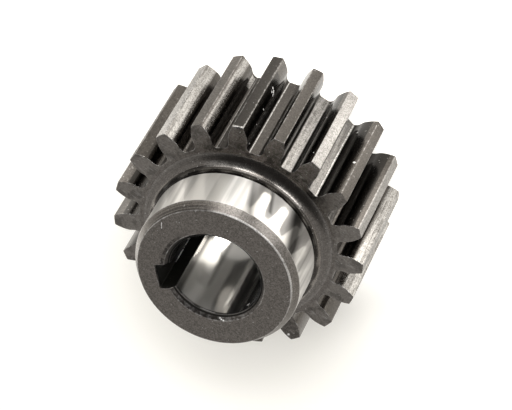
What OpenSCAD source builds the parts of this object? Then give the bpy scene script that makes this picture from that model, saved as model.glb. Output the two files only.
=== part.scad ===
// Pinion gear: a steel spur gear turned and cut from one piece, with a hub on one side.
// The plain back face lies on z = 0 and the shaft axis is +Z, out of the hub.
// The keyway opens towards +X.

/* [Teeth] */
// Number of teeth
teeth = 19; // [17:1:30]
// Module, the pitch diameter over the number of teeth: 2.1167 is 12 diametral pitch
tooth_module = 2.1167; // [1.9:0.0001:3.2]
// Pressure angle of the hob, in degrees
pressure_angle = 14.5; // [14.5:0.5:22.5]
// Height of a tooth above the pitch circle, in modules
addendum_factor = 1; // [0.8:0.05:1]
// Depth of a tooth space beyond the mating tip, in modules
clearance_factor = 0.157; // [0.1:0.001:0.2]
// Length of the teeth along the axis
face_width = 22.25; // [10:0.25:40]
// Angle from the keyway's centre line to the tooth beside it, in degrees
tooth_phase = -7.5; // [-9:0.5:9]

/* [Hub] */
// Ground outside diameter of the hub
hub_d = 28.9; // [24:0.1:30]
// How far the hub stands out past the teeth
hub_length = 12.4; // [8:0.1:25]
// Radius of the cove where the hub meets the toothed face
cove_r = 2.8; // [0.5:0.1:3]
// Width of the lead chamfer on the hub's edge, across the axis
hub_chamfer_w = 1; // [0.3:0.05:2]
// Length of the lead chamfer on the hub's edge, along the axis
hub_chamfer_l = 1.7; // [0.3:0.05:3]

/* [Bore] */
// Diameter of the bore
bore_d = 15.875; // [10:0.125:18]
// Width of the chamfer at both ends of the bore
bore_chamfer = 0.85; // [0.2:0.05:1.2]
// Width of the keyway
keyway_w = 4.76; // [3:0.01:6]
// Depth of the keyway below the wall of the bore, on its centre line
keyway_depth = 2.3; // [1:0.1:3]

/* [Hidden] */
$fn = 96;

degrees_per_radian = 180 / PI;
overcut = 0.5;

hub_r = hub_d / 2;
bore_r = bore_d / 2;
total_length = face_width + hub_length;

pitch_r = teeth * tooth_module / 2;
base_r = pitch_r * cos(pressure_angle);
tip_r = pitch_r + addendum_factor * tooth_module;
hob_depth = (addendum_factor + clearance_factor) * tooth_module;
root_r = pitch_r - hob_depth;

// The hob's tooth is a straight-sided rack with rounded tips. The centre of each rounding
// lies hob_round_depth below the pitch line and hob_round_offset from the rack's centre line.
hob_round_r = clearance_factor * tooth_module / (1 - sin(pressure_angle));
hob_round_depth = hob_depth - hob_round_r;
hob_round_offset = PI * tooth_module / 4 - hob_round_depth * tan(pressure_angle)
    - hob_round_r / cos(pressure_angle);
// Rack travel at which the rounding gives way to the straight side
hob_round_end = hob_round_depth / tan(pressure_angle);

// The cove can't reach past the bottoms of the tooth spaces
cove = min(cove_r, root_r - hub_r);

root_steps = 9;
flank_steps = 9;
join_halvings = 24;

// Half the angle of a tooth space where its involute flank has radius r
function involute(a) = tan(a) * degrees_per_radian - a;
function space_angle(r) = 90 / teeth - involute(pressure_angle) + involute(acos(base_r / r));

// Point [radius, angle] that the rounded tip cuts at rack travel x
function trochoid(x) =
    let (reach = 1 + hob_round_r / norm([x, hob_round_depth]))
    let (across = x * reach)
    let (up = pitch_r - hob_round_depth * reach)
    let (turned = (x - hob_round_offset) / pitch_r * degrees_per_radian)
    [norm([across, up]), atan2(across, up) - turned];

// Rack travel at which the rounded tip's cut meets the involute, found by halving
function past_join(p) = p[0] > base_r && p[1] < space_angle(p[0]);
function join_travel(low, high, count) =
    count == 0 ? low :
    let (middle = (low + high) / 2)
    past_join(trochoid(middle)) ? join_travel(low, middle, count - 1)
                                : join_travel(middle, high, count - 1);

join_x = join_travel(0, hob_round_end, join_halvings);
join_r = trochoid(join_x)[0];
flank_end = tip_r + overcut;

root_side = [for (i = [0:root_steps]) trochoid(join_x * i / root_steps)];
flank_side = [for (i = [1:flank_steps])
    let (r = join_r + (flank_end - join_r) * i / flank_steps)
    [r, space_angle(r)]];
space_side = concat([[root_r - overcut, root_side[0][1]]], root_side, flank_side);

function polar(p, side) = [p[0] * cos(p[1]), side * p[0] * sin(p[1])];

// One tooth space, centred on +X, with a round bottom on the root circle
module tooth_space() {
    last = len(space_side) - 1;
    difference() {
        polygon(concat(
            [for (i = [0:last]) polar(space_side[i], 1)],
            [for (i = [0:last]) polar(space_side[last - i], -1)]));
        circle(r = root_r);
    }
}

module toothed_blank() {
    half_pitch = 180 / teeth;
    difference() {
        turned_blank();
        for (i = [0:teeth - 1])
            rotate(tooth_phase + half_pitch * (2 * i + 1))
                translate([0, 0, -overcut])
                    linear_extrude(face_width + 2 * overcut)
                        tooth_space();
    }
}

// Toothed disc and hub as they leave the lathe, before the bore
module turned_blank() {
    rotate_extrude() {
        square([tip_r, face_width]);
        difference() {
            polygon([
                [0, 0],
                [hub_r + cove, 0],
                [hub_r + cove, face_width],
                [hub_r + cove, face_width + cove],
                [hub_r, face_width + cove],
                [hub_r, total_length - hub_chamfer_l],
                [hub_r - hub_chamfer_w, total_length],
                [0, total_length]]);
            translate([hub_r + cove, face_width + cove])
                circle(r = cove);
        }
    }
}

module bore() {
    translate([0, 0, -overcut])
        cylinder(r = bore_r, h = total_length + 2 * overcut);
    translate([0, 0, -overcut])
        cylinder(r1 = bore_r + bore_chamfer + overcut, r2 = bore_r, h = bore_chamfer + overcut);
    translate([0, 0, total_length - bore_chamfer])
        cylinder(r1 = bore_r, r2 = bore_r + bore_chamfer + overcut, h = bore_chamfer + overcut);
}

module keyway() {
    translate([0, -keyway_w / 2, -overcut])
        cube([bore_r + keyway_depth, keyway_w, total_length + 2 * overcut]);
}

module pinion_gear() {
    color([0.33, 0.32, 0.3])
        difference() {
            toothed_blank();
            bore();
            keyway();
        }
}

pinion_gear();
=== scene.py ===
# Studio picture of a steel pinion gear: blackened all over, with its hub and bore left bright.
# Lengths are in metres, unless a name ends in Mm or a note says millimetres. Angles are in degrees,
# round the axis from +X towards +Y. The gear stands on its back face, hub up.

import math
from functools import reduce

import bpy
from mathutils import Matrix, Vector


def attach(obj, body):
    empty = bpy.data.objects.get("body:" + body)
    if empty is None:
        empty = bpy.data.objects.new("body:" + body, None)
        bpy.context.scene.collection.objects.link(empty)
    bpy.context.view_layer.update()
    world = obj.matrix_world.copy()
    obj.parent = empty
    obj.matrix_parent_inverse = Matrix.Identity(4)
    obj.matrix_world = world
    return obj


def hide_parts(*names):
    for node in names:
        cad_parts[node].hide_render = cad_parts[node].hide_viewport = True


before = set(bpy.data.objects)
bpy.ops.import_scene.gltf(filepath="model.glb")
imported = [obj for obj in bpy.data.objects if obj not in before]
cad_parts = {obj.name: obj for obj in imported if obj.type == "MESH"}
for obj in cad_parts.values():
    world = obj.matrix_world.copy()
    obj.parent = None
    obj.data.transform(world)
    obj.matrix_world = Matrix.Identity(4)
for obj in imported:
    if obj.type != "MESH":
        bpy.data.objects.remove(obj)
bpy.context.view_layer.update()
print("frame loaded:", sorted(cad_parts))

mmPerMetre = 1000
halfTurn = 180


class Wire:
    # One socket of a node tree, which can be used in Python sums
    def __init__(self, tree, socket=None):
        self.tree = tree
        self.socket = socket

    def node(self, kind, settings=None, values=None, output=0):
        # Adds a node, sets it up first and then fills or links its sockets
        made = self.tree.nodes.new(kind)
        for name, setting in (settings or {}).items():
            setattr(made, name, setting)
        for name, value in (values or {}).items():
            if isinstance(value, Wire):
                self.tree.links.new(value.socket, made.inputs[name])
            else:
                made.inputs[name].default_value = value
        return Wire(self.tree, made.outputs[output] if len(made.outputs) else None)

    def other(self, output):
        # Another output of the same node
        return Wire(self.tree, self.socket.node.outputs[output])

    def sum(self, operation, *terms):
        return self.node("ShaderNodeMath", {"operation": operation}, dict(enumerate(terms)))

    def __add__(self, other):
        return self.sum("ADD", self, other)

    def __sub__(self, other):
        return self.sum("SUBTRACT", self, other)

    def __rsub__(self, other):
        return self.sum("SUBTRACT", other, self)

    def __mul__(self, other):
        return self.sum("MULTIPLY", self, other)

    def __pow__(self, other):
        return self.sum("POWER", self, other)

    __radd__ = __add__
    __rmul__ = __mul__

    def top(self, other):
        return self.sum("MAXIMUM", self, other)

    def ramp(self, start, end, low=0.0, high=1.0):
        # Goes smoothly from low at start to high at end, and stays there
        return self.node("ShaderNodeMapRange", {"interpolation_type": "SMOOTHSTEP"},
                         {"Value": self, "From Min": start, "From Max": end,
                          "To Min": low, "To Max": high})

    def within(self, start, end, soft):
        # 1 between start and end, falling to 0 over the soft width outside
        return self.ramp(start - soft, start) * self.ramp(end + soft, end)

    def vector(self, operation, values, output="Vector"):
        return self.node("ShaderNodeVectorMath", {"operation": operation}, values, output)

    def noise(self, place, scale, detail, roughness):
        return self.node("ShaderNodeTexNoise", None,
                         {"Vector": place, "Scale": scale, "Detail": detail,
                          "Roughness": roughness})

    def mix(self, first, second, share):
        # Colours mixed by share, from first at 0 to second at 1. Sockets 6, 7 and 2 are the colours'.
        return self.node("ShaderNodeMix", {"data_type": "RGBA"}, {0: share, 6: first, 7: second}, 2)

    def blend(self, first, second, share):
        # Two shaders mixed by share
        return self.node("ShaderNodeMixShader", None, {0: share, 1: first, 2: second})


def newMaterial(name):
    material = bpy.data.materials.new(name)
    material.use_nodes = True
    material.node_tree.nodes.clear()
    return material, Wire(material.node_tree)


def pointing(azimuth, elevation):
    around, up = math.radians(azimuth), math.radians(elevation)
    return Vector((math.cos(up) * math.cos(around), math.cos(up) * math.sin(around), math.sin(up)))


# The camera at the photograph's angle
cameraSet = {
    "target": (-0.002246, -0.002745, 0.017),
    "azimuth": -125.19,       # of the camera, as seen from the gear
    "elevation": 50.48,
    "roll": -150.88,
    "distance": 0.508514,
    "lensMm": 210.94,
    "sensorMm": 36,
    "nearest": 0.01,
    "farthest": 20,
}


def addCamera(facts):
    back = pointing(facts["azimuth"], facts["elevation"])
    level = Vector((0, 0, 1)).cross(back).normalized()
    turn = math.radians(facts["roll"])
    right = level * math.cos(turn) + back.cross(level) * math.sin(turn)
    bpy.ops.object.camera_add()
    camera = bpy.context.object
    camera.name = "studioCamera"
    camera.data.sensor_width = facts["sensorMm"]
    camera.data.lens = facts["lensMm"]
    camera.data.clip_start = facts["nearest"]
    camera.data.clip_end = facts["farthest"]
    place = Vector(facts["target"]) + back * facts["distance"]
    turned = Matrix((right, back.cross(right), back)).transposed()
    camera.matrix_world = Matrix.Translation(place) @ turned.to_4x4()
    bpy.context.scene.camera = camera


addCamera(cameraSet)
print("camera placed")

# The plain pale floor is a light table. Its glow is uneven, and the steel mirrors that: painted pools
# of light, and a painted shadow beside the gear.
floorSet = {
    "size": 8.0,
    "height": -0.00003,
    "colour": (0.8, 0.78, 0.725, 1),
    "rough": 0.9,
    "specular": 0.1,
    "glowColour": (1, 0.975, 0.93),
    "glow": 0.44,
    # Glow added far out, with its distances in millimetres
    "far": {"from": 110, "to": 500, "glow": 0.75},
    # Glow added in round patches, as painted pools of light, and as painted shadow where the glow is
    # below 0: where the middle is, the radius and the soft edge, in millimetres
    "patches": [
        {"azimuth": -150, "distance": 40, "radius": 8, "soft": 14, "glow": 2.6},
        {"azimuth": -110, "distance": 34, "radius": 6, "soft": 14, "glow": 1.0},
        {"azimuth": 172, "distance": 52, "radius": 6, "soft": 16, "glow": 1.6},
        {"azimuth": -35, "distance": 46, "radius": 6, "soft": 16, "glow": 1.6},
        {"azimuth": 10, "distance": 75, "radius": 12, "soft": 18, "glow": 3.0},
        {"azimuth": -172, "distance": 5.95, "radius": 2.8, "soft": 1.0, "glow": 18.0},
        {"azimuth": 0, "distance": 0, "radius": 6, "soft": 3, "glow": 0.3},
        {"azimuth": -160, "distance": 6, "radius": 22, "soft": 12, "glow": 0.45},
        # Painted shadow: less glow where the gear's shadow falls on the floor
        {"azimuth": 63, "distance": 33, "radius": 14, "soft": 18, "glow": -0.23},
    ],
}


def addFloor(facts):
    bpy.ops.mesh.primitive_plane_add(size=facts["size"], location=(0, 0, facts["height"]))
    floor = bpy.context.object
    floor.name = "paleFloor"
    material, wire = newMaterial("paleFloorPaint")
    place = wire.node("ShaderNodeTexCoord", output="Object")
    away = wire.vector("LENGTH", {0: place}, output="Value") * mmPerMetre
    far = facts["far"]
    glow = away.ramp(far["from"], far["to"], 0.0, far["glow"]) + facts["glow"]
    for patch in facts["patches"]:
        middle = pointing(patch["azimuth"], 0) * patch["distance"] / mmPerMetre
        away = wire.vector("DISTANCE", {0: place, 1: middle}, output="Value") * mmPerMetre
        glow = glow + away.ramp(patch["radius"] + patch["soft"], patch["radius"],
                                0.0, patch["glow"])
    glowing = wire.vector("SCALE", {0: facts["glowColour"], "Scale": glow})
    shader = wire.node("ShaderNodeBsdfPrincipled", None,
                       {"Base Color": facts["colour"], "Roughness": facts["rough"],
                        "Specular IOR Level": facts["specular"], "Emission Color": glowing,
                        "Emission Strength": 1.0})
    wire.node("ShaderNodeOutputMaterial", None, {"Surface": shader})
    floor.data.materials.append(material)


addFloor(floorSet)
print("floor laid")

# Soft studio lights. Wide and high are angles seen from the gear, and glow is the brightness of
# a lamp's face, where 1 is white. The shadow lamp is the only one that the steel doesn't mirror.
lightSet = {
    "aim": (0, 0, 0.015),
    "distance": 0.9,
    "lamps": {
        "lowFront": {"azimuth": -104, "elevation": 6, "wide": 30, "high": 15, "glow": 12.5},
        "lowSide": {"azimuth": -151, "elevation": 7, "wide": 32, "high": 17, "glow": 7.0},
        "lowLeft": {"azimuth": -75, "elevation": 5, "wide": 18, "high": 10, "glow": 1.8},
        "shadowLamp": {"azimuth": -113, "elevation": 48, "wide": 18, "high": 18, "glow": 18.0,
                       "mirrored": False},
    },
    # The room is darker within an angle of one direction, and pale just above the horizon
    "room": {
        "colour": (1, 0.995, 0.985, 1),
        "walls": 0.85,
        "dark": {"glow": 0.12, "azimuth": -125, "elevation": 62, "inner": 36, "outer": 58},
        "horizon": {"glow": 1.0, "from": 0.1, "to": 0.02},
    },
}


def addLamp(name, facts, aim, distance):
    back = pointing(facts["azimuth"], facts["elevation"])
    bpy.ops.object.light_add(type="AREA", location=Vector(aim) + back * distance)
    lamp = bpy.context.object
    lamp.name = name
    lamp.rotation_euler = back.to_track_quat("Z", "Y").to_euler()
    lamp.data.shape = "RECTANGLE"
    lamp.data.size = 2 * distance * math.tan(math.radians(facts["wide"] / 2))
    lamp.data.size_y = 2 * distance * math.tan(math.radians(facts["high"] / 2))
    lamp.data.energy = facts["glow"] * math.pi * lamp.data.size * lamp.data.size_y
    lamp.visible_glossy = facts.get("mirrored", True)


def addRoom(facts):
    world = bpy.data.worlds.new("studioRoom")
    bpy.context.scene.world = world
    world.use_nodes = True
    world.node_tree.nodes.clear()
    wire = Wire(world.node_tree)
    direction = wire.node("ShaderNodeTexCoord", output="Generated")
    dark, horizon = facts["dark"], facts["horizon"]
    darkest = pointing(dark["azimuth"], dark["elevation"])
    toDark = wire.vector("DOT_PRODUCT", {0: direction, 1: darkest}, output="Value")
    height = wire.vector("DOT_PRODUCT", {0: direction, 1: (0, 0, 1)}, output="Value")
    outer, inner = (math.cos(math.radians(dark[edge])) for edge in ("outer", "inner"))
    walls = toDark.ramp(outer, inner, facts["walls"], dark["glow"])
    nearFloor = height.ramp(horizon["from"], horizon["to"])
    strength = walls * (1 - nearFloor) + nearFloor * horizon["glow"]
    glow = wire.node("ShaderNodeBackground", None,
                     {"Color": facts["colour"], "Strength": strength})
    wire.node("ShaderNodeOutputWorld", None, {"Surface": glow})


def addLights(facts):
    for name, lamp in facts["lamps"].items():
        addLamp(name, lamp, facts["aim"], facts["distance"])
    addRoom(facts["room"])
    bpy.context.scene.view_settings.view_transform = "Standard"


addLights(lightSet)
print("lights set")

# The gear's own sizes, and how its edges are broken
gearSet = {
    "tipMm": 22.225,
    "webMm": 22.25,           # height of the toothed face
    "hubMm": 14.45,
    "groundFromMm": 25.05,    # the ground band runs from the cove to the lead chamfer
    "groundToMm": 32.95,
    "topMm": 34.65,
    "boreMm": 7.9375,
    "mergeDistance": 0.000002,
    "flatAngle": 0.3,         # facets that differ by less become one face
    "edgeBreak": 0.0001,
    "edgeSteps": 2,
    "sharpAngle": 24,
    "normalWeight": 60,
    # The one tooth whose tip is broken at the toothed face, and how near an edge has to be to it
    "brokenTip": {"tooth": -102.24, "within": 4, "margin": 0.0001, "width": 0.0003},
}


def selectEdges(piece, wanted):
    # Selects, for edit mode, the edges whose two ends both pass
    for polygon in piece.data.polygons:
        polygon.select = False
    for vertex in piece.data.vertices:
        vertex.select = False
    for edge in piece.data.edges:
        edge.select = all(wanted(piece.data.vertices[i].co) for i in edge.vertices)


def degreesBetween(first, second):
    return abs((first - second + halfTurn) % (2 * halfTurn) - halfTurn)


def copyNode(node, name, steels):
    # A free copy of a node's mesh, with new materials and nothing that marks it as that node
    bpy.ops.object.select_all(action="DESELECT")
    node.select_set(True)
    bpy.context.view_layer.objects.active = node
    bpy.ops.object.duplicate(linked=False)
    piece = bpy.context.object
    piece.name = name
    piece.data.materials.clear()
    for steel in steels:
        piece.data.materials.append(steel)
    piece.parent = None
    for key in list(piece.keys()):
        del piece[key]
    return piece


def modelGear(facts, steels):
    piece = copyNode(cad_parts["pinion_gear"], "blackenedPinion", steels)
    bpy.ops.object.mode_set(mode="EDIT")
    bpy.ops.mesh.select_all(action="SELECT")
    bpy.ops.mesh.customdata_custom_splitnormals_clear()
    bpy.ops.mesh.remove_doubles(threshold=facts["mergeDistance"])
    bpy.ops.mesh.dissolve_limited(angle_limit=math.radians(facts["flatAngle"]))
    bpy.ops.object.mode_set(mode="OBJECT")

    broken = facts["brokenTip"]

    def onBrokenTip(place):
        angle = math.degrees(math.atan2(place.y, place.x))
        return (math.hypot(place.x, place.y) > facts["tipMm"] / mmPerMetre - broken["margin"]
                and place.z > facts["webMm"] / mmPerMetre - broken["margin"]
                and degreesBetween(angle, broken["tooth"]) < broken["within"])

    selectEdges(piece, onBrokenTip)
    bpy.ops.object.mode_set(mode="EDIT")
    bpy.ops.mesh.select_mode(type="EDGE")
    bpy.ops.mesh.bevel(offset=broken["width"], offset_type="OFFSET", segments=1, affect="EDGES")
    bpy.ops.object.mode_set(mode="OBJECT")

    bevel = piece.modifiers.new("edgeBreak", "BEVEL")
    bevel.limit_method = "ANGLE"
    bevel.angle_limit = math.radians(facts["sharpAngle"])
    bevel.width = facts["edgeBreak"]
    bevel.segments = facts["edgeSteps"]
    bevel.use_clamp_overlap = False
    bevel.material = 1        # the worn edges' steel, with a painted highlight on one side
    bpy.ops.object.modifier_apply(modifier="edgeBreak")
    bpy.ops.object.shade_smooth()
    weighted = piece.modifiers.new("evenNormals", "WEIGHTED_NORMAL")
    weighted.mode = "FACE_AREA"
    weighted.weight = facts["normalWeight"]
    weighted.keep_sharp = False
    bpy.ops.object.modifier_apply(modifier="evenNormals")
    return piece


# Where the zones of the turned and hobbed blank change over, in millimetres. A pair gives where
# a zone's share is 0 and where it is 1. Names with Past are measured from a size of the gear.
zoneSet = {
    "hubSoft": 0.05,
    "hubPastHub": (-0.3, -0.2),
    "borePastBore": (0.14, 0.08),
    "teethPastWeb": (-0.02, -0.07),
    "landPastTip": (-0.12, -0.06),
    "rootFrom": (17.3, 17.4),
    "rootTo": (18.3, 18.0),
    "covePastWeb": 0.03,
    "coveSoft": 0.02,
    "chamferSoft": 0.05,
    "chamferFrom": (12.0, 12.2),
    "faceFrom": (17.2, 17.6),
    "keywayPastBore": (0.1, 0.2),
    "keywayTo": (11.0, 10.8),
    "keywayPastTop": (-0.03, -0.08),
    "mouthPastTop": (-0.5, -0.4),
    "squeeze": 0.05,          # shortens the axis in a noise, whose grain then runs along it
}

# What a spot of wear, stain, painted light or painted shade has where it doesn't say otherwise
plainSpot = {"soft": 0.25, "fade": 0.12, "low": -9, "high": 99}


class GearPlace:
    # Where a point of the steel lies, in millimetres and degrees, and its share of each zone
    def __init__(self, wire, sizes, zones, noises):
        self.wire = wire
        place = wire.node("ShaderNodeTexCoord", output="Object")
        self.point = wire.vector("SCALE", {0: place, "Scale": mmPerMetre})
        self.along = wire.vector("MULTIPLY", {0: self.point, 1: (1.0, 1.0, zones["squeeze"])})
        self.x = wire.node("ShaderNodeSeparateXYZ", None, {0: self.point})
        self.y, self.z = self.x.other(1), self.x.other(2)
        self.radius = (self.x * self.x + self.y * self.y) ** 0.5
        self.angle = wire.sum("ARCTAN2", self.y, self.x) * math.degrees(1)
        self.mottle = wire.noise(self.point, *noises["mottle"])
        self.grain = wire.noise(self.point, *noises["grain"])

        def past(size, zone):
            return [sizes[size] + edge for edge in zones[zone]]

        radius, z = self.radius, self.z
        fromRoot = radius.ramp(*zones["rootFrom"])
        self.hub = z.within(sizes["groundFromMm"], sizes["groundToMm"],
                            zones["hubSoft"]) * radius.ramp(*past("hubMm", "hubPastHub"))
        self.bore = radius.ramp(*past("boreMm", "borePastBore"))
        self.teeth = z.ramp(*past("webMm", "teethPastWeb"))
        self.land = radius.ramp(*past("tipMm", "landPastTip")) * self.teeth
        self.flank = fromRoot * self.teeth * (1 - self.land)
        self.root = fromRoot * radius.ramp(*zones["rootTo"]) * self.teeth
        self.cove = z.within(sizes["webMm"] + zones["covePastWeb"], sizes["groundFromMm"],
                             zones["coveSoft"])
        self.chamfer = z.within(
            sizes["groundToMm"] + zones["chamferSoft"], sizes["topMm"] - zones["chamferSoft"],
            zones["chamferSoft"]) * radius.ramp(*zones["chamferFrom"])
        self.aboveTeeth = 1 - self.teeth
        self.face = self.aboveTeeth * radius.ramp(*zones["faceFrom"])
        self.keyway = (radius.ramp(*past("boreMm", "keywayPastBore"))
                       * radius.ramp(*zones["keywayTo"])
                       * z.ramp(*past("topMm", "keywayPastTop")))
        self.mouth = self.keyway * z.ramp(*past("topMm", "mouthPastTop"))

    def share(self, spots, angle=None):
        # The largest share of the spots at each point
        angle = self.angle if angle is None else angle
        shares = []
        for spot in spots:
            full = {**plainSpot, **spot}
            # Two whole turns more keep the angle above 0 before it is folded at half a turn
            turn = self.wire.sum("PINGPONG", angle - full["angle"] + 4 * halfTurn, halfTurn)
            share = turn.ramp(full["half"] + full["soft"], full["half"] - full["soft"],
                              0.0, full["share"])
            if "from" in spot:
                share = share * self.radius.within(full["from"], full["to"], full["fade"])
            if "low" in spot or "high" in spot:
                share = share * self.z.within(full["low"], full["high"], full["fade"])
            shares.append(share)
        return reduce(Wire.top, shares)


# Blackened and ground steel, with its painted shade, painted reflections and painted highlights
steelSet = {
    "oxide": (0.122, 0.110, 0.099, 1),
    # Painted shade: the flanks are darker than the rest of the oxide, so the gaps between the teeth
    # look dark
    "flank": (0.08, 0.072, 0.065, 1),
    "oxideWorn": (0.30, 0.28, 0.255, 1),
    # Bright bare steel, for rubbed places and for painted highlights
    "bareAndHighlit": (0.56, 0.543, 0.523, 1),
    # Near black, for soot and for painted shade and painted dark reflections
    "sootAndShade": (0.02, 0.018, 0.016, 1),
    "ground": (0.66, 0.64, 0.61, 1),
    "reamed": (0.325, 0.32, 0.31, 1),
    # Painted reflection streaks along the hub's two sides
    "paintedStreak": (0.25, 0.24, 0.225, 1),
    "faceRough": 0.33,        # turned faces of the web, the teeth and the hub
    "zoneRough": {"flank": 0.16, "land": 0.3, "cove": 0.2, "chamfer": 0.33},
    "bareRougher": 0.15,
    "reliefHeight": 0.00003,
    "reliefStrength": 0.2,
    "markRough": 0.45,        # tool marks, which spread reflections across themselves
    "zoneMarks": {"land": 0.7, "root": 0.6, "flank": 0.05, "chamfer": 0.5},
    "brushing": {"Anisotropic": 1.0, "Anisotropic Rotation": 0.25},
    "groundRough": 0.09,
    "groundBrushRough": 0.42,
    "groundBrushShare": 0.62,
    "leftBrushMore": 0.3,
    "boreBrushLess": 0.34,
    "leftOfHub": (-125, -115),
    "rightOfHub": (-160, -166),
    "uprightDarkReflection": 29,       # height in millimetres that the leaning painted dark reflections on the hub are turned about
    "tornSteel": {"Base Color": (0.75, 0.74, 0.72, 1), "Metallic": 0.4, "Roughness": 0.55},
    "tornRagged": 2.4,        # how far the grain breaks up a torn place's rim, in radii
    "tornCore": 0.6,          # share of its radius that is torn all over
    # Painted shade: near black in the keyway below its mouth
    "keywayShadePaint": {"Base Color": (0.004, 0.004, 0.003, 1), "Roughness": 0.7,
                   "Specular IOR Level": 0.1},
    "keywayShadeShare": 0.95,
    "edgeChamferWear": 0.3,
    "edgeShelter": 0.6,       # how far the keyway and the bore are spared from edge wear
    "edgeHighlightFrom": (13.0, 13.2),    # radius in millimetres that leaves the bore's edge out
    "scuffAcross": 0.7,       # a scuff's noise is squeezed along one slant of the toothed face
    "scuffAlong": 0.08,
    # Scale for each millimetre, detail and roughness
    "noises": {
        "mottle": (1.3, 4.0, 0.6),
        "blotch": (0.45, 5.0, 0.62),
        "dust": (2.3, 1.0, 0.5),
        "grain": (4.2, 3.0, 0.65),
        "paintedStreak": (0.6, 2.0, 0.5),
        "ragged": (1.1, 4.0, 0.6),
        "rings": (5.0, 2.0, 0.6),
        "turned": (2.4, 1.0, 0.5),
        "lines": (2.6, 3.0, 0.6),
        "scuffs": (3.2, 3.0, 0.65),
    },
    # Where a noise starts to count and where it counts in full, and what it gives at those two
    # if that isn't 0 and 1
    "ramps": {
        "oxideGrain": (0.36, 0.64, 0.74, 1.26),
        "wornMottle": (0.35, 1.0, 0.0, 0.35),
        "wornGrain": (0.3, 0.7, 0.1, 1.0),
        "blotch": (0.47, 0.6, 0.0, 0.38),
        "ragged": (0.5, 0.56),
        "turned": (0.5, 0.56),
        "faceStains": (0.42, 0.54, 0.3, 1.0),
        "rings": (0.48, 0.64, 0.0, 0.12),
        "mouthRubbed": (0.4, 0.6),
        "lines": (0.36, 0.56, 0.45, 1.05),
        "bareGrain": (0.36, 0.6, 0.45, 1.1),
        "bareMottle": (0.36, 0.54, 0.72, 1.0),
        "dust": (0.7, 0.78, 0.0, 0.4),
        "scuffs": (0.56, 0.7),
        "edgeMottle": (0.4, 0.64, 0.0, 0.42),
        "edgeGrain": (0.4, 0.6, 0.3, 1.0),
        "rough": (0.2, 0.8, -0.03, 0.04),
        "paintedStreak": (0.42, 0.6, 0.0, 0.42),
    },
}
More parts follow.
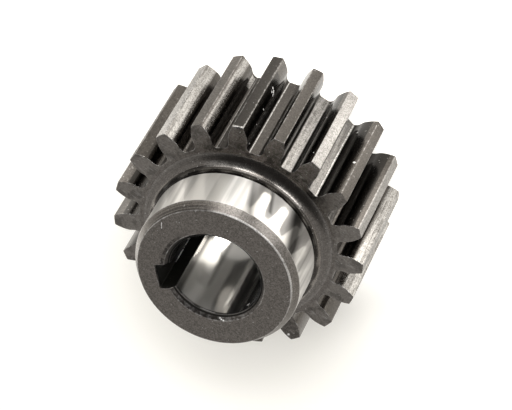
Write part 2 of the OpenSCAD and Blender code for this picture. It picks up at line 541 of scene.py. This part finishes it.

# Places of wear and stains, and of painted highlights, painted reflections and painted shade, by
# angle and half width in degrees, radius from and to and height low and high in millimetres, with the
# share of the change there. It ends over soft, in degrees, and over fade, in millimetres.
wearAndLightSet = {
    # Rubbed bare steel on the teeth, together with painted highlights on lands, flanks and roots
    "wornAndHighlit": [
        {"angle": -66.5, "half": 4.6, "from": 20.3, "to": 22.4, "share": 0.8},
        {"angle": -83.3, "half": 2.3, "from": 22.1, "to": 22.4, "share": 0.1},
        {"angle": -88.4, "half": 2.3, "from": 20.8, "to": 22.6, "fade": 0.5, "share": 0.65},
        {"angle": -102.2, "half": 2.5, "from": 21.85, "to": 22.4, "low": 21.9, "share": 1.0},
        {"angle": -104.75, "half": 0.12, "soft": 0.12, "from": 21.9, "to": 22.3, "share": 0.3},
        {"angle": -140.1, "half": 2.6, "from": 22.1, "to": 22.4, "share": 0.58},
        {"angle": -178.0, "half": 2.6, "from": 22.1, "to": 22.4, "share": 0.55},
        {"angle": 163.0, "half": 2.6, "from": 22.1, "to": 22.4, "share": 0.65},
        {"angle": 168.0, "half": 3.9, "from": 21.0, "to": 22.9, "fade": 0.7, "share": 0.8},
        {"angle": 149.5, "half": 3.4, "from": 18.5, "to": 22.4, "share": 0.9},
        {"angle": 49.3, "half": 2.6, "from": 22.1, "to": 22.4, "share": 0.7},
        {"angle": 11.4, "half": 2.6, "from": 22.1, "to": 22.4, "share": 0.42},
        {"angle": -7.5, "half": 2.6, "from": 22.1, "to": 22.4, "share": 0.12},
        {"angle": -90.4, "half": 0.15, "soft": 0.15, "from": 17.4, "to": 18.0, "share": 0.4},
        {"angle": -91.7, "half": 0.1, "soft": 0.15, "from": 17.4, "to": 18.0, "share": 0.3},
        {"angle": -88.8, "half": 0.8, "from": 17.7, "to": 18.5, "low": 0.6, "high": 4,
         "share": 0.9},
        {"angle": -109.1, "half": 0.25, "soft": 0.25, "from": 17.4, "to": 17.9, "share": 1.0},
        {"angle": -130.7, "half": 3.1, "from": 17.4, "to": 17.95, "share": 0.5},
        {"angle": -149.6, "half": 3.4, "from": 17.4, "to": 17.95, "share": 0.33},
        {"angle": -152.6, "half": 0.4, "from": 17.5, "to": 18.0, "share": 1.0},
        {"angle": -168.6, "half": 2.0, "from": 17.4, "to": 17.95, "share": 0.4},
        {"angle": 58.8, "half": 3.4, "from": 17.4, "to": 17.95, "share": 0.5},
    ],
    # Darker places on the teeth, mostly painted shade and painted dark reflections on flanks, lands
    # and roots
    "darkened": [
        {"angle": -26.4, "half": 2.6, "from": 22.1, "to": 22.4, "share": 0.4},
        {"angle": -18.0, "half": 32, "soft": 3, "from": 17.4, "to": 20.5, "share": 0.85},
        {"angle": -102.2, "half": 2.4, "from": 22.1, "to": 22.4, "high": 21.8, "share": 0.8},
        {"angle": -121.2, "half": 2.4, "from": 22.1, "to": 22.4, "share": 0.36},
        {"angle": -159.1, "half": 2.4, "from": 22.1, "to": 22.4, "share": 0.14},
        {"angle": -111.7, "half": 4.5, "from": 17.4, "to": 18.0, "share": 0.4},
        {"angle": -92.8, "half": 4.5, "from": 17.4, "to": 18.0, "share": 0.5},
        {"angle": -148.0, "half": 40, "soft": 2, "from": 17.98, "to": 21.3, "share": 0.88},
        {"angle": -150.4, "half": 0.08, "soft": 0.12, "from": 17.4, "to": 17.9, "share": 0.8},
        {"angle": -151.5, "half": 0.05, "soft": 0.15, "from": 17.4, "to": 17.9, "share": 0.6},
        {"angle": -66.7, "half": 0.1, "soft": 0.15, "from": 22.0, "to": 22.2, "share": 0.6},
        {"angle": -97.0, "half": 8, "soft": 2, "from": 18.3, "to": 21.6, "share": 0.4},
        {"angle": -107.6, "half": 3.6, "soft": 0.8, "from": 17.98, "to": 22.1, "low": 4,
         "share": 0.7},
    ],
    "webPale": [
        {"angle": -8.0, "half": 60, "soft": 30, "share": 0.2},
        {"angle": 170.0, "half": 40, "soft": 20, "share": 0.22},
    ],
    "scuffed": [
        {"angle": 175.0, "half": 65, "soft": 20, "share": 0.26},
        {"angle": -60.0, "half": 60, "soft": 20, "share": 0.2},
    ],
    "raggedRim": [
        {"angle": -118.0, "half": 40, "soft": 12, "from": 16.7, "to": 18.6, "share": 0.6},
    ],
    # Painted dark reflections in the cove between the web and the hub
    "coveDarkReflections": [
        {"angle": -115.0, "half": 70, "soft": 20, "low": 22.3, "high": 25.2, "share": 0.12},
        {"angle": -115.0, "half": 60, "soft": 10, "low": 22.3, "high": 22.7, "fade": 0.2,
         "share": 0.25},
        {"angle": -110.0, "half": 74, "soft": 6, "low": 23.75, "high": 25.5, "fade": 0.2,
         "share": 0.9},
        {"angle": -60.0, "half": 26, "soft": 8, "low": 23.4, "high": 25.3, "share": 0.96},
    ],
    # Painted highlights: bright streaks along the cove
    "coveHighlights": [
        {"angle": -99.0, "half": 16, "soft": 5, "low": 22.95, "high": 23.5, "fade": 0.2,
         "share": 0.22},
        {"angle": -142.0, "half": 14, "soft": 6, "low": 23.1, "high": 23.6, "fade": 0.2,
         "share": 0.17},
    ],
    # Painted dark reflections on the ground hub, leaning with height
    "hubDarkReflections": [
        {"angle": -160.0, "half": 6, "soft": 4, "share": 0.96},
        {"angle": -121.5, "half": 1.8, "soft": 2.5, "share": 0.6},
        {"angle": -135.8, "half": 1.2, "soft": 1.6, "high": 29.6, "fade": 0.8, "share": 0.75},
        {"angle": -46.0, "half": 14, "soft": 8, "share": 0.5},
    ],
    "turnedMarks": [{"angle": -76.0, "half": 26, "soft": 14, "share": 0.6}],
    # Painted highlights on the hub's lead chamfer and its top edge
    "chamferHighlights": [
        {"angle": -142.0, "half": 34, "soft": 16, "share": 0.1},
        {"angle": -150.0, "half": 44, "soft": 18, "low": 34.43, "share": 1.0},
    ],
    # Painted highlight along the hub face's outer edge
    "edgeHighlight": [{"angle": -148.0, "half": 42, "soft": 18, "low": 34.4, "share": 1.0}],
    "faceStains": [
        {"angle": 105.0, "half": 6, "soft": 2, "from": 17.8, "to": 22.4, "share": 0.5},
        {"angle": -28.0, "half": 36, "soft": 15, "from": 8.2, "to": 9.3, "fade": 0.3, "low": 33,
         "share": 0.8},
    ],
    # Painted dark reflections and shade in the bore
    "boreDarkReflections": [
        {"angle": 75.0, "half": 75, "soft": 20, "low": 33.6, "high": 34.3, "share": 0.8},
        {"angle": 53.0, "half": 2.2, "soft": 3, "low": 16, "high": 27, "fade": 2.5, "share": 0.5},
        {"angle": 44.0, "half": 7, "soft": 6, "low": 26, "high": 28, "fade": 1.5, "share": 0.35},
        {"angle": 112.0, "half": 14, "soft": 3, "share": 0.65},
        {"angle": 21.5, "half": 5, "soft": 3, "share": 0.75},
        {"angle": -60.0, "half": 24, "soft": 8, "low": 2, "high": 18, "fade": 1.5, "share": 0.85},
        {"angle": -30.0, "half": 46, "soft": 3, "low": 22, "share": 0.93},
    ],
    "boreScores": [
        {"angle": 18.7, "half": 0.25, "soft": 0.2, "low": 16, "high": 25, "share": 1.0},
        {"angle": 20.3, "half": 0.25, "soft": 0.2, "low": 16, "high": 24, "share": 1.0},
        {"angle": 21.8, "half": 0.2, "soft": 0.2, "low": 16, "high": 23, "share": 0.8},
    ],
    "mouthRubbed": [
        {"angle": 70.0, "half": 48, "soft": 25, "from": 8.4, "to": 8.9, "low": 33.9,
         "share": 0.35},
    ],
    # Painted shade at the keyway's mouth
    "keywayMouthShade": [
        {"angle": -50.0, "half": 50, "soft": 8, "share": 0.8},
        {"angle": 90.0, "half": 55, "soft": 5, "share": 0.4},
    ],
    # Torn places, by the middle and the radius. A groove is stretched along the axis.
    "grooves": [
        {"place": (10.12, 2.38, 19.8), "radius": 0.13},
        {"place": (10.12, 2.38, 24.6), "radius": 0.13},
    ],
    "nicks": [
        {"place": (-5.87, -19.57, 7.68), "radius": 0.38},
        {"place": (-5.87, -20.15, 7.5), "radius": 0.3},
        {"place": (-5.87, -19.9, 8.35), "radius": 0.26},
        {"place": (-5.87, -19.2, 8.25), "radius": 0.24},
        {"place": (-19.91, -8.81, 12.98), "radius": 0.3},
        {"place": (-4.06, 6.82, 32.55), "radius": 0.35},
        {"place": (0.53, 8.62, 34.51), "radius": 0.2},
        {"place": (0.85, 8.45, 34.3), "radius": 0.16},
        {"place": (0.2, 8.75, 34.65), "radius": 0.18},
        {"place": (-5.09, 20.48, 22.25), "radius": 0.3},
        {"place": (-5.87, -19.47, 13.23), "radius": 0.2},
        {"place": (-5.86, -19.04, 17.23), "radius": 0.13},
        {"place": (-5.50, -17.59, 20.82), "radius": 0.16},
        {"place": (-17.39, -8.45, 3.08), "radius": 0.22},
        {"place": (-14.09, -13.98, 7.05), "radius": 0.13},
        {"place": (-15.67, -14.71, 19.06), "radius": 0.13},
        {"place": (6.86, -10.98, 34.65), "radius": 0.08},
        {"place": (6.91, -10.78, 34.65), "radius": 0.09},
        {"place": (6.95, -10.6, 34.65), "radius": 0.08},
        {"place": (6.99, -10.42, 34.65), "radius": 0.09},
        {"place": (7.03, -10.24, 34.65), "radius": 0.08},
        {"place": (7.07, -10.07, 34.65), "radius": 0.08},
        {"place": (7.1, -9.9, 34.65), "radius": 0.09},
    ],
}


def darkShare(at, facts, wearAndLight):
    # How far soot and thick oxide, and painted shade and painted dark reflections, darken the black
    # faces
    wire, noises, ramps = at.wire, facts["noises"], facts["ramps"]
    blotch = wire.noise(at.point, *noises["blotch"])
    ragged = wire.noise(at.point, *noises["ragged"])
    turned = wire.noise(wire.node("ShaderNodeCombineXYZ", None, {"Z": at.z}), *noises["turned"])
    return reduce(Wire.top, [
        at.share(wearAndLight["darkened"]) * at.teeth,
        blotch.ramp(*ramps["blotch"]) * at.face,
        ragged.ramp(*ramps["ragged"]) * at.aboveTeeth * at.share(wearAndLight["raggedRim"]),
        turned.ramp(*ramps["turned"]) * at.chamfer * at.share(wearAndLight["turnedMarks"]),
        at.mottle.ramp(*ramps["faceStains"]) * at.aboveTeeth * at.share(wearAndLight["faceStains"]),
        at.share(wearAndLight["coveDarkReflections"]) * at.cove,
        at.share(wearAndLight["keywayMouthShade"]) * at.mouth,
    ])


def bareAndHighlitShare(at, facts, wearAndLight):
    # How far the oxide is rubbed off, with painted highlights, broken up by the grain, with bright
    # dust and scuffs on top
    wire, noises, ramps = at.wire, facts["noises"], facts["ramps"]
    rings = wire.node("ShaderNodeCombineXYZ", None, {"X": at.radius, "Z": at.z})
    rings = wire.noise(rings, *noises["rings"])
    lines = wire.noise(at.along, *noises["lines"])
    dust = wire.noise(at.point, *noises["dust"])
    across = wire.node("ShaderNodeCombineXYZ", None,
                       {"X": (at.x + at.y) * facts["scuffAcross"],
                        "Y": (at.x - at.y) * facts["scuffAlong"], "Z": at.z})
    scuffs = wire.noise(across, *noises["scuffs"])
    bareAndHighlit = reduce(Wire.top, [
        at.share(wearAndLight["wornAndHighlit"]) * at.teeth,
        at.share(wearAndLight["coveHighlights"]) * at.cove,
        rings.ramp(*ramps["rings"]) * at.chamfer.top(at.cove),
        at.share(wearAndLight["chamferHighlights"]) * at.chamfer,
        at.share(wearAndLight["mouthRubbed"]) * at.mottle.ramp(*ramps["mouthRubbed"]),
    ])
    bareAndHighlit = bareAndHighlit * at.grain.ramp(*ramps["bareGrain"]) * at.mottle.ramp(*ramps["bareMottle"])
    bareAndHighlit = bareAndHighlit * (1 - at.flank + at.flank * lines.ramp(*ramps["lines"]))
    bareAndHighlit = bareAndHighlit.top(dust.ramp(*ramps["dust"]))
    return bareAndHighlit.top(scuffs.ramp(*ramps["scuffs"]) * at.face * at.share(wearAndLight["scuffed"]))


def edgeShare(at, facts, wearAndLight):
    # How far a broken edge is worn bright, with a painted highlight along the hub face's edge on one
    # side
    ramps = facts["ramps"]
    paintedEdgeHighlight = at.share(wearAndLight["edgeHighlight"]) * at.radius.ramp(*facts["edgeHighlightFrom"])
    brightEdge = (at.mottle.ramp(*ramps["edgeMottle"]) + paintedEdgeHighlight * at.grain.ramp(*ramps["edgeGrain"])
            + at.chamfer * facts["edgeChamferWear"])
    return (brightEdge * (1 - at.keyway * facts["edgeShelter"])
            * (1 - (at.mouth + at.bore) * facts["edgeShelter"]))


def tornShare(at, facts, wearAndLight, zones):
    # The small ragged places where fresh metal shows
    ragged = (at.grain - 0.5) * facts["tornRagged"]
    spots = [(at.point, nick["place"], nick["radius"]) for nick in wearAndLight["nicks"]]
    for groove in wearAndLight["grooves"]:
        x, y, z = groove["place"]
        spots.append((at.along, (x, y, z * zones["squeeze"]), groove["radius"]))
    shares = []
    for place, middle, radius in spots:
        away = at.wire.vector("DISTANCE", {0: place, 1: middle}, output="Value")
        away = away + ragged * radius
        shares.append(away.ramp(radius, radius * facts["tornCore"]))
    return reduce(Wire.top, shares)


def metal(wire, colour, rough, more):
    return wire.node("ShaderNodeBsdfPrincipled", None,
                     {"Base Color": colour, "Metallic": 1.0, "Roughness": rough, **more})


def oxideShader(at, facts, wearAndLight, edgeWearAndHighlight):
    wire, ramps = at.wire, facts["ramps"]
    bareAndHighlit = bareAndHighlitShare(at, facts, wearAndLight)
    # Painted shade on the flanks, between the teeth
    colour = wire.mix(facts["oxide"], facts["flank"], at.flank)
    colour = wire.vector("SCALE", {0: colour, "Scale": at.grain.ramp(*ramps["oxideGrain"])})
    colour = wire.mix(colour, facts["oxideWorn"],
                      at.mottle.ramp(*ramps["wornMottle"]) * at.grain.ramp(*ramps["wornGrain"]))
    colour = wire.mix(colour, facts["oxideWorn"], at.share(wearAndLight["webPale"]) * at.face)
    # Soot, with painted shade and painted dark reflections
    colour = wire.mix(colour, facts["sootAndShade"], darkShare(at, facts, wearAndLight))
    # Rubbed bare steel and painted highlights
    colour = wire.mix(colour, facts["bareAndHighlit"], bareAndHighlit)
    if edgeWearAndHighlight:
        colour = wire.mix(colour, facts["bareAndHighlit"], edgeShare(at, facts, wearAndLight))
    rough = at.mottle.ramp(*ramps["rough"]) + bareAndHighlit * facts["bareRougher"] + facts["faceRough"]
    for zone, zoneRough in facts["zoneRough"].items():
        rough = rough + getattr(at, zone) * (zoneRough - facts["faceRough"])
    relief = {"Normal": wire.node("ShaderNodeBump", None,
                                  {"Strength": facts["reliefStrength"],
                                   "Distance": facts["reliefHeight"], "Height": at.grain})}
    smooth = metal(wire, colour, rough, relief)
    # Tool marks cross the teeth, so they spread reflections along the axis too
    marked = metal(wire, colour, facts["markRough"], {**facts["brushing"], **relief})
    marks = facts["zoneMarks"]
    return wire.blend(smooth, marked, at.land * marks["land"] + at.root * marks["root"]
                      + at.flank * (1 - at.root) * marks["flank"] + at.chamfer * marks["chamfer"])


def groundShader(at, facts, wearAndLight):
    wire = at.wire
    # Painted dark reflections on the hub and in the bore
    leaning = at.angle + (at.z - facts["uprightDarkReflection"])
    paintedDarkReflections = at.share(wearAndLight["hubDarkReflections"], leaning) * at.hub
    paintedDarkReflections = paintedDarkReflections.top(at.share(wearAndLight["boreDarkReflections"]) * at.bore)
    left = at.angle.ramp(*facts["leftOfHub"]) * at.hub
    right = at.angle.ramp(*facts["rightOfHub"]) * at.hub
    # Painted reflection streaks along the axis, on the hub's left and right
    paintedStreak = wire.noise(at.along, *facts["noises"]["paintedStreak"]).ramp(*facts["ramps"]["paintedStreak"])
    colour = wire.mix(facts["ground"], facts["reamed"], at.bore)
    colour = wire.mix(colour, facts["sootAndShade"], paintedDarkReflections)
    colour = wire.mix(colour, facts["paintedStreak"], paintedStreak * left.top(right))
    colour = wire.mix(colour, facts["ground"], at.share(wearAndLight["boreScores"]) * at.bore)
    # Grinding runs round the hub and the bore, so it spreads reflections along the axis
    clear = metal(wire, colour, facts["groundRough"], {})
    brushed = metal(wire, colour, facts["groundBrushRough"], facts["brushing"])
    return wire.blend(clear, brushed, facts["groundBrushShare"] + left * facts["leftBrushMore"]
                      - at.bore * facts["boreBrushLess"])


def makeSteel(sizes, zones, facts, wearAndLight, edgeWearAndHighlight):
    material, wire = newMaterial("wornAndHighlitEdges" if edgeWearAndHighlight else "blackenedSteel")
    at = GearPlace(wire, sizes, zones, facts["noises"])
    shader = wire.blend(oxideShader(at, facts, wearAndLight, edgeWearAndHighlight), groundShader(at, facts, wearAndLight),
                        at.hub.top(at.bore))
    # Painted shade filling the keyway
    paintedKeywayShade = wire.node("ShaderNodeBsdfPrincipled", None, facts["keywayShadePaint"])
    shader = wire.blend(shader, paintedKeywayShade, (at.keyway - at.mouth) * facts["keywayShadeShare"])
    torn = wire.node("ShaderNodeBsdfPrincipled", None, facts["tornSteel"])
    shader = wire.blend(shader, torn, tornShare(at, facts, wearAndLight, zones))
    wire.node("ShaderNodeOutputMaterial", None, {"Surface": shader})
    return material


steels = [makeSteel(gearSet, zoneSet, steelSet, wearAndLightSet, edgeWearAndHighlight) for edgeWearAndHighlight in (False, True)]
print("steel finished")
pinion = modelGear(gearSet, steels)
print("gear modelled:", len(pinion.data.vertices), "vertices")
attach(pinion, "root")
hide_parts("pinion_gear")
